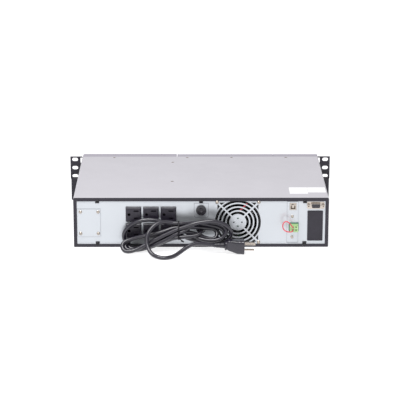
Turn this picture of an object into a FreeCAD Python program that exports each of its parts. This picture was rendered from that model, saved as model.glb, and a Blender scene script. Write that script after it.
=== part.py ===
import FreeCAD, Part
import math
import os
import re
from Sketcher import Constraint

# Two-unit rackmount uninterruptible power supply, about 1 kVA, with two 12 V batteries.
# Every sub-part is modelled from the outer face of the rear border: x to the right as seen from
# behind, y forwards into the case, z up from the underside. One placement then moves each of
# them so that the origin is under the middle of the object.

Vector = FreeCAD.Vector
Placement = FreeCAD.Placement
Rotation = FreeCAD.Rotation

ALONG_Z = Rotation()
ALONG_X = Rotation(Vector(0, 1, 0), 90)
AGAINST_X = Rotation(Vector(0, 1, 0), -90)
ALONG_Y = Rotation(Vector(1, 0, 0), -90)
AGAINST_Y = Rotation(Vector(1, 0, 0), 90)

SIZES = {
    # case
    "rear_border_y": -140,
    "body_width": 438,
    "body_height": 88,
    "cover_front": 273.6,
    "bezel_front": 293.5,
    "door_front": 297.5,
    "sheet_wall": 1.2,
    "seam_height": 44,
    "seam_gap": 0.3,
    "cover_fold": 2.5,
    "tray_fold": 1.5,
    "border_side": 5.8,
    "border_top": 6,
    "border_bottom": 5.3,
    "border_depth": 1.2,
    "tab_half_width": 3.4,
    "tab_half_height": 3.4,
    "tab_pitch": 178,
    "tab_top": 82,
    "tab_bottom": 6.5,
    "panel_gap": 0.2,
    "fold_line_width": 0.8,
    "fold_line_depth": 0.3,
    "vent_width": 3,
    "vent_height": 16,
    "vent_pitch": 8,
    "vent_start": 96,
    "vent_low": 16,
    "vent_high": 58,
    "front_wall_left": -46,
    "front_wall_top": 84,
    "partition_top": 80,
    # rack ears
    "ear_reach": 241.3,
    "ear_narrow": 239.3,
    "ear_plate": 2.5,
    "ear_bottom": 9,
    "ear_step": 44,
    "ear_corner": 2.2,
    "ear_leg_depth": 60,
    "ear_leg_low": 8,
    "ear_leg_high": 74,
    "gusset_top": 49.4,
    "gusset_depth": 15,
    "slot_centre": 232.55,
    "slot_top": 82.5,
    "slot_pitch": 15.875,
    "slot_length": 11,
    "slot_height": 7,
    "notch_low": 76,
    "notch_high": 86,
    "notch_width": 3.6,
    # rear sockets and controls
    "outlet_width": 26.7,
    "outlet_height": 26,
    "outlet_proud": 4,
    "outlet_bevel": 1.6,
    "outlet_shrink": 0.8,
    "outlet_depth": 21,
    "outlet_first_x": -116,
    "outlet_pitch_x": 30,
    "outlet_low_z": 29.6,
    "outlet_pitch_z": 29.4,
    "blade_slot_x": 4.45,
    "blade_slot_rise": 6.35,
    "blade_slot_height": 2.3,
    "wide_slot": 8.6,
    "narrow_slot": 7,
    "ground_x": -7.6,
    "ground_radius": 2.6,
    "contact_depth": 14,
    "breaker_z": 66.2,
    "breaker_neck": 5.8,
    "breaker_bore": 3.7,
    "breaker_nut": 8.85,
    "breaker_nut_proud": 3.8,
    "breaker_button": 3.5,
    "breaker_button_proud": 5.6,
    "breaker_block_width": 16,
    "breaker_block_height": 26,
    "breaker_block_depth": 28,
    "gland_z": 35.2,
    "gland_flange": 9,
    "gland_neck": 7.4,
    "gland_tip": 5.6,
    "gland_reach": 16,
    "fit_gap": 0.2,
    # fan
    "fan_x": 63.1,
    "fan_z": 44.2,
    "fan_side": 80,
    "fan_depth": 25,
    "fan_duct": 37.6,
    "fan_hole_reach": 35.75,
    "grille_hub": 14.8,
    "grille_slot": 4.4,
    "grille_pitch": 6.8,
    "grille_rings": 4,
    "corner_slot_width": 6,
    "corner_slot_reach": 35.2,
    "corner_land": 4.4,
    "spoke_width": 2.8,
    "strut_offset": 11.8,
    "strut_width": 3,
    "strut_depth": 2.6,
    "strut_start": 4.6,
    "rotor_radius": 36.4,
    "rotor_hub": 15,
    "rotor_start": 10.2,
    "rotor_depth": 16,
    "rotor_shaft": 1.5,
    "shaft_clearance": 0.05,
    # signal connectors
    "comm_left": 148.4,
    "comm_width": 17.3,
    "comm_low": 8.8,
    "comm_height": 72.4,
    "plate_thickness": 1,
    "comm_screw_x": 156.5,
    "usb_x": 157.5,
    "usb_z": 72.7,
    "usb_width": 11.4,
    "usb_height": 12.6,
    "terminal_x": 159.2,
    "terminal_z": 36,
    "terminal_width": 14.2,
    "terminal_height": 12.9,
    "terminal_face": -9.5,
    "terminal_wall": 0.9,
    "wire_entry_x": 157.3,
    "wire_pitch": 5.08,
    "jumper_diameter": 2,
    "serial_x": 196.6,
    "serial_z": 74.6,
    "serial_top_width": 16.9,
    "serial_bottom_width": 14.2,
    "serial_height": 8.4,
    "serial_proud": 5.6,
    "serial_wall": 0.6,
    "serial_flange_width": 30.2,
    "serial_flange_height": 12.5,
    "jack_pitch": 25,
    "jack_radius": 2.8,
    "jack_bore": 1.25,
    "jack_length": 5,
    "slot_cover_x": 195.85,
    "slot_cover_width": 26.6,
    "slot_cover_low": 11.2,
    "slot_cover_height": 53.8,
    # left cover plate
    "blank_left": -212.4,
    "blank_width": 39.4,
    "blank_low": 19,
    "blank_height": 49,
    # front
    "bezel_left": -42.5,
    "bezel_wall": 2.5,
    "bezel_lift": 0.5,
    "door_right": -43.5,
    "door_side": -218.5,
    "door_back": 274,
    "door_grip_width": 46,
    "door_grip_height": 16,
    "door_grip_depth": 11,
    "door_grip_low": 36,
    "window_left": 55,
    "window_width": 62,
    "window_low": 29,
    "window_height": 34,
    "window_thickness": 1.6,
    "key_radius": 5.4,
    "key_gap": 0.3,
    "key_pitch": 18,
    "key_first_x": 36,
    "key_z": 46,
    "key_proud": 1,
    "key_depth": 8,
    "key_flange": 6.8,
    "display_board_y": 277.5,
    "board_thickness": 1.6,
    # batteries
    "battery_width": 151,
    "battery_length": 94,
    "battery_height": 65,
    "battery_left": -207.5,
    "battery_rear_y": 66,
    "battery_front_y": 168,
    "battery_tab": 6,
    "pack_left": -211,
    "pack_width": 158,
    "pack_back": 58,
    "pack_length": 209,
    "pack_lift": 1.7,
    "pack_wall_height": 40,
    # electronics
    "board_left": -44,
    "board_width": 184,
    "board_back": 36,
    "board_length": 226,
    "board_height": 8,
    "sink_length": 140,
    "sink_height": 62,
    "sink_width": 24,
    "sink_back": 60,
    "fin_thickness": 1.6,
    "fin_pitch": 4.4,
    "can_radius": 12.5,
    "can_height": 42,
    "can_pitch": 29,
    # cord
    "cord_diameter": 7,
    "plug_yaw": 3.5,
    "plug_pitch": 2,
    "plug_x": 40,
    "plug_y": -38,
    "plug_z": 15.2,
    "relief_length": 18,
    "collar_radius": 8.2,
    "collar_length": 3,
    "plug_length": 33,
    "blade_spread": 6.35,
    "blade_offset": -4,
    "pin_offset": 7.9,
    "prong_height": 0.5,
}

doc = FreeCAD.newDocument("rackmount_ups")
sheet = doc.addObject("Spreadsheet::Sheet", "sizes")
for row, (alias, number) in enumerate(SIZES.items(), start=1):
    sheet.set(f"A{row}", alias)
    sheet.set(f"B{row}", str(number))
    sheet.setAlias(f"B{row}", alias)
doc.recompute()

nodes = []


# ---------------------------------------------------------------- helpers

def size(alias):
    """A number of the sheet."""
    return float(sheet.get(alias))


def bind(text):
    """An expression that reads the sheet, from a sum of aliases and numbers."""
    return re.sub(r"[a-z]\w*", lambda word: "sizes." + word.group(), str(text))


def node(part, label):
    """Name a finished sub-part and put it in the row's frame."""
    part.Label = label
    part.setExpression("Placement.Base.y", bind("rear_border_y"))
    nodes.append(part)
    return part


def place(part, base, turn=ALONG_Z):
    part.Placement = Placement(Vector(), turn)
    for axis, text in zip("xyz", base):
        part.setExpression(f"Placement.Base.{axis}", bind(text))
    return part


def box(base, extent):
    """A block from its low corner, both in sheet expressions."""
    part = doc.addObject("Part::Box", "block")
    for name, text in zip(("Length", "Width", "Height"), extent):
        part.setExpression(name, bind(text))
    return place(part, base)


def rod(base, radius, length, turn=ALONG_Y):
    """A cylinder from the centre of its first face."""
    part = doc.addObject("Part::Cylinder", "rod")
    part.setExpression("Radius", bind(radius))
    part.setExpression("Height", bind(length))
    return place(part, base, turn)


def cone(base, radius, end_radius, length, turn=ALONG_Y):
    part = doc.addObject("Part::Cone", "cone")
    part.setExpression("Radius1", bind(radius))
    part.setExpression("Radius2", bind(end_radius))
    part.setExpression("Height", bind(length))
    return place(part, base, turn)


def fuse(*pieces):
    part = doc.addObject("Part::MultiFuse", "fuse")
    part.Shapes = list(pieces)
    return part


def cut(base, *tools):
    part = doc.addObject("Part::Cut", "cut")
    part.Base = base
    part.Tool = tools[0] if len(tools) == 1 else fuse(*tools)
    return part


def common(first, second):
    part = doc.addObject("Part::MultiCommon", "common")
    part.Shapes = [first, second]
    return part


def group(*pieces):
    part = doc.addObject("Part::Compound", "group")
    part.Links = list(pieces)
    return part


def fillet(base, radius, wanted):
    """Round the edges of a primitive that the test picks."""
    doc.recompute()
    part = doc.addObject("Part::Fillet", "fillet")
    part.Base = base
    edges = enumerate(base.Shape.Edges, start=1)
    part.Edges = [(number, radius, radius) for number, edge in edges if wanted(edge)]
    return part


def runs_along(edge, axis):
    """Whether a straight edge is parallel to one axis: it has no extent along the other two."""
    extents = {"x": edge.BoundBox.XLength, "y": edge.BoundBox.YLength, "z": edge.BoundBox.ZLength}
    return all(extent < 1e-6 for name, extent in extents.items() if name != axis)


def feature(shape):
    part = doc.addObject("Part::Feature", "shape")
    part.Shape = shape
    return part


def new_body(name):
    return doc.addObject("PartDesign::Body", name)


def new_sketch(body, role, offset="0"):
    """A sketch on one of the body's own planes, moved along the plane's normal."""
    plane = next(item for item in body.Origin.OriginFeatures if item.Role == role)
    sketch = body.newObject("Sketcher::SketchObject", "outline")
    sketch.AttachmentSupport = [(plane, "")]
    sketch.MapMode = "FlatFace"
    sketch.setExpression("AttachmentOffset.Base.z", bind(offset))
    return sketch


def bound_constraint(sketch, kind, *where, text):
    """A length constraint whose value is a sheet expression."""
    index = sketch.addConstraint(Constraint(kind, *where, 1.0))
    sketch.setExpression(f"Constraints[{index}]", bind(text))


def draw_rectangle(sketch, left, bottom, width, height):
    first = sketch.GeometryCount
    corners = [Vector(0, 0), Vector(1, 0), Vector(1, 1), Vector(0, 1)]
    for start, end in zip(corners, corners[1:] + corners[:1]):
        sketch.addGeometry(Part.LineSegment(start, end), False)
    for side in range(4):
        joined = first + (side + 1) % 4
        sketch.addConstraint(Constraint("Coincident", first + side, 2, joined, 1))
        sketch.addConstraint(Constraint("Vertical" if side % 2 else "Horizontal", first + side))
    bound_constraint(sketch, "DistanceX", -1, 1, first, 1, text=left)
    bound_constraint(sketch, "DistanceY", -1, 1, first, 1, text=bottom)
    bound_constraint(sketch, "DistanceX", first, 1, first, 2, text=width)
    bound_constraint(sketch, "DistanceY", first + 1, 1, first + 1, 2, text=height)


def draw_circle(sketch, across, up, radius):
    circle = Part.Circle(Vector(0, 0, 0), Vector(0, 0, 1), 1.0)
    index = sketch.addGeometry(circle, False)
    bound_constraint(sketch, "DistanceX", -1, 1, index, 3, text=across)
    bound_constraint(sketch, "DistanceY", -1, 1, index, 3, text=up)
    bound_constraint(sketch, "Radius", index, text=radius)


def pad(body, sketch, length, forward=True):
    """Extrude a sketch of the XZ plane forwards (+y) or backwards (-y)."""
    part = body.newObject("PartDesign::Pad", "pad")
    part.Profile = sketch
    part.setExpression("Length", bind(length))
    part.Reversed = forward
    return part


def pocket(body, sketch, depth):
    """Cut a sketch of the XZ plane forwards, and make sure that it does cut."""
    doc.recompute()
    before = body.Shape.Volume
    part = body.newObject("PartDesign::Pocket", "pocket")
    part.Profile = sketch
    part.setExpression("Length", bind(depth))
    doc.recompute()
    if body.Shape.Volume > before - 1e-3:
        raise RuntimeError(f"{body.Name}: a pocket cuts nothing")
    return part


def round_edges(body, kind, radius, wanted):
    """A PartDesign fillet or chamfer on the edges that the test picks."""
    doc.recompute()
    tip = body.Tip
    names = [f"Edge{number}" for number, edge in enumerate(tip.Shape.Edges, start=1) if wanted(edge)]
    part = body.newObject(kind, "edge")
    part.Base = (tip, names)
    part.setExpression("Radius" if kind.endswith("Fillet") else "Size", bind(radius))
    return part


def screw_shape(head_radius, head_height, shank_radius, shank_length):
    """A pan-head screw: domed head above z = 0 with a cross recess, and its shank below."""
    rim = head_height * 0.45
    outline = [
        Part.LineSegment(Vector(0, 0, -shank_length), Vector(shank_radius, 0, -shank_length)),
        Part.LineSegment(Vector(shank_radius, 0, -shank_length), Vector(shank_radius, 0, 0)),
        Part.LineSegment(Vector(shank_radius, 0, 0), Vector(head_radius, 0, 0)),
        Part.LineSegment(Vector(head_radius, 0, 0), Vector(head_radius, 0, rim)),
        Part.Arc(Vector(head_radius, 0, rim), Vector(head_radius * 0.72, 0, head_height * 0.86),
                 Vector(0, 0, head_height)),
        Part.LineSegment(Vector(0, 0, head_height), Vector(0, 0, -shank_length)),
    ]
    face = Part.Face(Part.Wire([curve.toShape() for curve in outline]))
    solid = face.revolve(Vector(0, 0, 0), Vector(0, 0, 1), 360)
    arm = head_radius * 0.62
    blade = head_radius * 0.2
    depth = head_height * 0.55
    for long, wide in ((arm, blade), (blade, arm)):
        corner = Vector(-long, -wide, head_height - depth)
        solid = solid.cut(Part.makeBox(2 * long, 2 * wide, head_height, corner))
    return solid


def screw_group(places, turn, head_radius, head_height, shank_radius, shank_length):
    """Equal screws, each with the underside of its head at one of the places."""
    screws = []
    for spot in places:
        solid = screw_shape(head_radius, head_height, shank_radius, shank_length)
        solid.Placement = Placement(Vector(*spot), turn)
        screws.append(solid)
    return feature(Part.makeCompound(screws))


def rounded_path(points):
    """Straight runs joined by tangent arcs, each arc as large as its two runs allow."""
    edges = []
    radii = []
    reached = points[0]
    for before, corner, after in zip(points, points[1:], points[2:]):
        back = before - corner
        ahead = after - corner
        turn = math.pi - back.getAngle(ahead)
        reach = 0.45 * min(back.Length, ahead.Length)
        radius = reach / math.tan(turn / 2)
        back.normalize()
        ahead.normalize()
        inward = (back + ahead).normalize()
        middle = corner + inward * (radius / math.cos(turn / 2) - radius)
        arc_start = corner + back * reach
        arc_end = corner + ahead * reach
        edges.append(Part.LineSegment(reached, arc_start).toShape())
        edges.append(Part.Arc(arc_start, middle, arc_end).toShape())
        reached = arc_end
        radii.append(radius)
    edges.append(Part.LineSegment(reached, points[-1]).toShape())
    return Part.Wire(edges), radii


def tube_shape(name, points, diameter):
    """A round tube along a route; its volume has to be its section times its length."""
    path, radii = rounded_path([Vector(*point) for point in points])
    heading = Vector(*points[1]) - Vector(*points[0])
    ring = Part.Circle(Vector(*points[0]), heading, diameter / 2)
    tube = path.makePipeShell([Part.Wire([ring.toShape()])], True, False)
    ratio = tube.Volume / (math.pi * diameter ** 2 / 4 * path.Length)
    print(f"{name}: length {path.Length:.1f} mm, volume ratio {ratio:.4f}, arc radii",
          " ".join(f"{radius:.1f}" for radius in radii))
    if abs(ratio - 1) > 0.01:
        raise RuntimeError(f"{name}: the tube's volume is wrong")
    return tube


# ---------------------------------------------------------------- places that repeat

TAB_X = ("-tab_pitch", "0", "tab_pitch")
COVER_SCREWS = ((-159, 268), (-24, 268), (58, 268), (159, 268), (-50.5, 233.5), (-50.4, 105))
EAR_SCREW_Y = (224, 250)
EAR_SCREW_LOW = 22
EAR_SCREW_HIGH = 62
BLANK_SCREWS = ((-207, 63.2), (-176.7, 63.2), (-207, 24.5), (-176.7, 24.5))
COMM_SCREW_Z = (55, 18)
STANDOFFS = tuple((x, y) for x in (-38, 48, 134) for y in (44, 254))
VENTS = range(12)
LOUVRE_LOWS = range(14, 76, 6)
SHANK_HOLE = 1.7


def across_walls(y, z, radius):
    """A round hole through both side walls."""
    return rod(("-body_width", y, z), radius, "2 * body_width", ALONG_X)


def side_vents(low):
    return [box(("-body_width", f"vent_start + {number} * vent_pitch", low),
                ("2 * body_width", "vent_width", "vent_height")) for number in VENTS]


# ---------------------------------------------------------------- case

def make_base_tray():
    shell = fillet(
        box(("-body_width / 2", "border_depth", "0"),
            ("body_width", "cover_front - border_depth", "seam_height")),
        size("tray_fold"), lambda edge: runs_along(edge, "y") and edge.CenterOfMass.z < 1)
    hollow = box(("-body_width / 2 + sheet_wall", "border_depth - 1", "sheet_wall"),
                 ("body_width - 2 * sheet_wall", "cover_front + 1", "body_height"))
    floor_and_walls = cut(shell, hollow)
    front_wall = box(("front_wall_left", "cover_front - sheet_wall", "sheet_wall"),
                     ("body_width / 2 - sheet_wall - panel_gap - front_wall_left",
                      "sheet_wall", "front_wall_top - sheet_wall"))
    partition = box(("front_wall_left - sheet_wall", "pack_back", "sheet_wall"),
                    ("sheet_wall", "cover_front - pack_back", "partition_top - sheet_wall"))
    posts = [rod((x, y, "sheet_wall"), "3", "board_height - sheet_wall", ALONG_Z)
             for x, y in STANDOFFS]
    holes = [across_walls(y, EAR_SCREW_LOW, SHANK_HOLE) for y in EAR_SCREW_Y]
    vents = [box(("-body_width", f"vent_start + {number} * vent_pitch", "vent_low"),
                 ("body_width / 2 + 6", "vent_width", "vent_height")) for number in VENTS]
    vents += [box(("body_width / 2 - 6", f"vent_start + {number} * vent_pitch", "vent_low"),
                  ("12", "vent_width", "vent_height")) for number in VENTS]
    node(cut(fuse(floor_and_walls, front_wall, partition, *posts), *holes, *vents), "base_tray")


def make_top_cover():
    shell = fillet(
        box(("-body_width / 2", "border_depth", "seam_height + seam_gap"),
            ("body_width", "cover_front - border_depth", "body_height - seam_height - seam_gap")),
        size("cover_fold"),
        lambda edge: runs_along(edge, "y") and edge.CenterOfMass.z > size("body_height") - 1)
    hollow = box(("-body_width / 2 + sheet_wall", "border_depth - 1", "seam_height - 1"),
                 ("body_width - 2 * sheet_wall", "cover_front + 1",
                  "body_height - seam_height + 1 - sheet_wall"))
    countersinks = [cone((x, y, "body_height - sheet_wall"), "1.6", "2.8", "sheet_wall", ALONG_Z)
                    for x, y in COVER_SCREWS]
    holes = [across_walls(y, EAR_SCREW_HIGH, SHANK_HOLE) for y in EAR_SCREW_Y]
    node(cut(shell, hollow, *countersinks, *holes, *side_vents("vent_high")), "top_cover")


def make_rear_frame(label, low, high, fold, tab_z, inner_low, inner_high):
    """One half of the dark border around the rear panel, with its three screw tabs."""
    block = box(("-body_width / 2", "0", low), ("body_width", "border_depth", f"{high} - ({low})"))
    middle = size("seam_height")
    outer = fillet(block, size(fold), lambda edge: runs_along(edge, "y") and
                   abs(edge.CenterOfMass.z - middle) > middle - 1)
    opening = box(("-body_width / 2 + border_side", "-1", inner_low),
                  ("body_width - 2 * border_side", "border_depth + 2", f"{inner_high} - ({inner_low})"))
    tabs = [box((f"{x} - tab_half_width", "0", f"{tab_z} - tab_half_height"),
                ("2 * tab_half_width", "border_depth", "2 * tab_half_height")) for x in TAB_X]
    holes = [rod((x, "-1", tab_z), SHANK_HOLE, "4") for x in TAB_X]
    reliefs = [rod((f"fan_x + {side} * fan_hole_reach", "-1", "fan_z + fan_hole_reach"), "3.2", "4")
               for side in (-1, 1)]
    node(cut(fuse(cut(outer, opening), *tabs), *holes, *reliefs), label)


def fan_corners():
    """The four screw places of the fan, as expressions."""
    return [(f"fan_x + {across} * fan_hole_reach", f"fan_z + {up} * fan_hole_reach")
            for across in (-1, 1) for up in (-1, 1)]


def grille_ring(inner, outer):
    return cut(rod(("fan_x", "0", "fan_z"), outer, "5"), rod(("fan_x", "-1", "fan_z"), inner, "8"))


def spoke_bars(width):
    """Two bars through the middle of the fan, along its diagonals."""
    bars = []
    for turn in (45, -45):
        bar = doc.addObject("Part::Box", "spoke")
        bar.setExpression("Length", bind("2 * fan_side"))
        bar.setExpression("Width", "12")
        bar.setExpression("Height", bind(width))
        doc.recompute()
        centre = Vector(size("fan_x"), 0, size("fan_z"))
        middle = Vector(size("fan_side"), 3, bar.Height.Value / 2)
        rotation = Rotation(Vector(0, 1, 0), turn)
        bar.Placement = Placement(centre - rotation.multVec(middle), rotation)
        bars.append(bar)
    return bars


def fan_grille():
    """The slots of the fan grille: rings cut by two spokes, and a pair of wedges at each corner."""
    rings = [grille_ring(f"grille_hub + {number} * grille_pitch",
                         f"grille_hub + {number} * grille_pitch + grille_slot")
             for number in range(int(size("grille_rings")))]
    slots = cut(fuse(*rings), *spoke_bars("spoke_width"))
    outermost = grille_ring("grille_hub + grille_rings * grille_pitch - 0.3",
                            "grille_hub + grille_rings * grille_pitch + corner_slot_width")
    square = box(("fan_x - corner_slot_reach", "-2", "fan_z - corner_slot_reach"),
                 ("2 * corner_slot_reach", "10", "2 * corner_slot_reach"))
    lands = [rod((x, "-1", z), "corner_land", "8") for x, z in fan_corners()]
    wedges = cut(common(outermost, square), *spoke_bars("spoke_width + 0.6"), *lands)
    return [slots, wedges]


def outlet_places():
    return [(f"outlet_first_x + {column} * outlet_pitch_x", f"outlet_low_z + {row} * outlet_pitch_z")
            for row in (1, 0) for column in range(3)]


def panel_hole(x, z, radius):
    return rod((x, "-1", z), radius, "6")


def panel_window(x, z, width, height):
    """A rectangular opening around a centre, through the panel."""
    return box((f"{x} - ({width}) / 2", "-1", f"{z} - ({height}) / 2"), (width, "6", height))


def make_rear_panel():
    sheet_metal = box(("-body_width / 2 + sheet_wall + panel_gap", "border_depth",
                       "sheet_wall + panel_gap"),
                      ("body_width - 2 * sheet_wall - 2 * panel_gap", "sheet_wall",
                       "body_height - 2 * sheet_wall - 2 * panel_gap"))
    tools = [panel_window(x, z, "outlet_width - outlet_shrink * 2 + fit_gap * 2",
                          "outlet_height - outlet_shrink * 2 + fit_gap * 2") for x, z in outlet_places()]
    tools += [panel_hole("0", "breaker_z", "breaker_neck + fit_gap")]
    tools += [panel_hole("0", "gland_z", "gland_neck + fit_gap")]
    tools += fan_grille()
    tools += [panel_hole(x, z, "1.9") for x, z in fan_corners()]
    tools += [panel_hole(f"fan_x + {x}", f"fan_z + {z}", "1.4")
              for x, z in ((7, 0), (-7, 0), (0, 7), (0, -7))]
    tools += [panel_window("usb_x", "usb_z", "usb_width + 2 * fit_gap",
                           "usb_height + 2 * fit_gap")]
    tools += [panel_window("terminal_x", "terminal_z", "terminal_width + 2 * terminal_wall + 4 * fit_gap",
                           "terminal_height + 2 * terminal_wall + 4 * fit_gap")]
    tools += [panel_window("serial_x", "serial_z", "serial_top_width + 1", "serial_height + 1")]
    tools += [panel_hole(f"serial_x + {side} * jack_pitch / 2", "serial_z", SHANK_HOLE) for side in (-1, 1)]
    tools += [panel_window("slot_cover_x", "slot_cover_low + slot_cover_height / 2",
                           "slot_cover_width - 6", "slot_cover_height - 8")]
    tools += [panel_window("blank_left + blank_width / 2", "blank_low + blank_height / 2",
                           "blank_width - 18", "blank_height - 16")]
    tools += [panel_hole(x, z, SHANK_HOLE) for x, z in BLANK_SCREWS]
    tools += [panel_hole("comm_screw_x", z, SHANK_HOLE) for z in COMM_SCREW_Z]
    tools += [panel_hole(x, z, SHANK_HOLE) for x in TAB_X for z in ("tab_top", "tab_bottom")]
    tools += [box(("-body_width", "border_depth - 1", z), ("2 * body_width", "1 + fold_line_depth",
                                                           "fold_line_width")) for z in (80, 8)]
    node(cut(sheet_metal, *tools), "rear_panel")


def make_case_screws():
    tabs = [(side * size("tab_pitch"), 0, size(height))
            for side in (-1, 0, 1) for height in ("tab_top", "tab_bottom")]
    node(screw_group(tabs, AGAINST_Y, 2.7, 1.6, 1.4, 7), "frame_screws")
    flush = []
    for x, y in COVER_SCREWS:
        head = Part.makeCone(1.5, 2.7, 1.2, Vector(x, y, size("body_height") - 1.2))
        shank = Part.makeCylinder(1.3, 5, Vector(x, y, size("body_height") - 6.2))
        low = size("body_height") - 0.6
        recess = Part.makeBox(2.6, 0.6, 0.6, Vector(x - 1.3, y - 0.3, low))
        recess = recess.fuse(Part.makeBox(0.6, 2.6, 0.6, Vector(x - 0.3, y - 1.3, low)))
        flush.append(head.fuse(shank).cut(recess))
    node(feature(Part.makeCompound(flush)), "cover_screws")


# ---------------------------------------------------------------- rack ears

def make_rack_ears():
    """The left ear, and the right one as its mirror image."""
    outer = box(("-ear_reach", "cover_front", "ear_step"),
                ("ear_reach - body_width / 2", "ear_plate", "body_height - ear_step"))
    upper = doc.addObject("Part::Chamfer", "chamfer")
    doc.recompute()
    upper.Base = outer
    step_edges = [number for number, edge in enumerate(outer.Shape.Edges, start=1)
                  if runs_along(edge, "y") and edge.CenterOfMass.x < -size("ear_narrow")
                  and edge.CenterOfMass.z < size("ear_step") + 1]
    upper.Edges = [(number, size("ear_corner"), size("ear_corner")) for number in step_edges]
    lower = box(("-ear_narrow", "cover_front", "ear_bottom"),
                ("ear_narrow - body_width / 2", "ear_plate", "ear_step - ear_bottom + 4"))
    leg = box(("-body_width / 2 - ear_plate", "cover_front + ear_plate - ear_leg_depth", "ear_leg_low"),
              ("ear_plate", "ear_leg_depth", "ear_leg_high - ear_leg_low"))
    gusset = cut(box(("-ear_narrow", "cover_front - gusset_depth", "ear_bottom"),
                     ("ear_narrow - body_width / 2", "gusset_depth", "gusset_top - ear_bottom")),
                 box(("-ear_narrow + ear_plate", "cover_front - gusset_depth + ear_plate",
                      "ear_bottom - 1"),
                     ("ear_narrow - body_width / 2 - 2 * ear_plate", "gusset_depth",
                      "gusset_top - ear_bottom + 1 - ear_plate")))
    slots = []
    for number in range(3):
        height = f"slot_top - {number} * slot_pitch"
        half = "(slot_length - slot_height) / 2"
        slots.append(fuse(
            box((f"-slot_centre - {half}", "cover_front - 1", f"{height} - slot_height / 2"),
                ("slot_length - slot_height", "6", "slot_height")),
            rod((f"-slot_centre - {half}", "cover_front - 1", height), "slot_height / 2", "6"),
            rod((f"-slot_centre + {half}", "cover_front - 1", height), "slot_height / 2", "6")))
    notch = box(("-body_width / 2 - notch_width", "cover_front - 1", "notch_low"),
                ("notch_width + 1", "6", "notch_high - notch_low"))
    screw_holes = [rod(("-body_width", y, z), SHANK_HOLE, "body_width", ALONG_X)
                   for y in EAR_SCREW_Y for z in (EAR_SCREW_LOW, EAR_SCREW_HIGH)]
    ear = cut(fuse(upper, lower, leg, gusset), *slots, notch, *screw_holes)
    other = doc.addObject("Part::Mirroring", "mirror")
    other.Source = ear
    other.Normal = Vector(1, 0, 0)
    doc.recompute()
    node(group(other), "rack_ear_right")
    node(group(ear), "rack_ear_left")


def make_ear_screws():
    leg_face = size("body_width") / 2 + size("ear_plate")
    spots = [(y, z) for y in EAR_SCREW_Y for z in (EAR_SCREW_LOW, EAR_SCREW_HIGH)]
    left = screw_group([(-leg_face, y, z) for y, z in spots], AGAINST_X, 3.2, 1.9, 1.5, 7)
    right = screw_group([(leg_face, y, z) for y, z in spots], ALONG_X, 3.2, 1.9, 1.5, 7)
    node(group(left, right), "ear_screws")


# ---------------------------------------------------------------- rear plates and sockets

def make_plates():
    """The blank plate at the left, the signal plate and the option slot's cover."""
    blank = new_body("blank")
    outline = new_sketch(blank, "XZ_Plane", "-border_depth + plate_thickness")
    draw_rectangle(outline, "blank_left", "blank_low", "blank_width", "blank_height")
    pad(blank, outline, "plate_thickness")
    holes = new_sketch(blank, "XZ_Plane", "2")
    for x, z in BLANK_SCREWS:
        draw_circle(holes, x, z, SHANK_HOLE)
    pocket(blank, holes, "8")
    node(blank, "connector_cover_plate")
    node(screw_group([(x, size("border_depth") - size("plate_thickness"), z) for x, z in BLANK_SCREWS],
                     AGAINST_Y, 2.9, 1.7, 1.45, 6), "cover_plate_screws")

    comm = new_body("comm")
    outline = new_sketch(comm, "XZ_Plane", "-border_depth + plate_thickness")
    draw_rectangle(outline, "comm_left", "comm_low", "comm_width", "comm_height")
    pad(comm, outline, "plate_thickness")
    openings = new_sketch(comm, "XZ_Plane", "2")
    draw_rectangle(openings, "usb_x - usb_width / 2 - fit_gap", "usb_z - usb_height / 2 - fit_gap",
                   "usb_width + 2 * fit_gap", "usb_height + 2 * fit_gap")
    header_width = "terminal_width + 2 * terminal_wall + 4 * fit_gap"
    header_height = "terminal_height + 2 * terminal_wall + 4 * fit_gap"
    draw_rectangle(openings, f"terminal_x - ({header_width}) / 2", f"terminal_z - ({header_height}) / 2",
                   header_width, header_height)
    for z in COMM_SCREW_Z:
        draw_circle(openings, "comm_screw_x", z, SHANK_HOLE)
    pocket(comm, openings, "8")
    node(comm, "comm_plate")
    node(screw_group([(size("comm_screw_x"), size("border_depth") - size("plate_thickness"), z)
                      for z in COMM_SCREW_Z], AGAINST_Y, 2.6, 1.5, 1.45, 6), "comm_plate_screws")

    cover = new_body("slot")
    outline = new_sketch(cover, "XZ_Plane", "-border_depth + plate_thickness")
    draw_rectangle(outline, "slot_cover_x - slot_cover_width / 2", "slot_cover_low",
                   "slot_cover_width", "slot_cover_height")
    pad(cover, outline, "plate_thickness")
    rim = new_sketch(cover, "XZ_Plane", "-border_depth + plate_thickness + 0.5")
    draw_rectangle(rim, "slot_cover_x - slot_cover_width / 2 + 1.5", "slot_cover_low + 1.5",
                   "slot_cover_width - 3", "slot_cover_height - 3")
    pad(cover, rim, "0.6")
    field = new_sketch(cover, "XZ_Plane", "-border_depth + plate_thickness + 0.6")
    draw_rectangle(field, "slot_cover_x - slot_cover_width / 2 + 3", "slot_cover_low + 3",
                   "slot_cover_width - 6", "slot_cover_height - 6")
    pocket(cover, field, "0.6")
    corner = size("slot_cover_width") / 2 - 0.1
    round_edges(cover, "PartDesign::Fillet", "1.4",
                lambda edge: runs_along(edge, "y") and
                abs(edge.CenterOfMass.x - size("slot_cover_x")) > corner)
    node(cover, "slot_cover")


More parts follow.
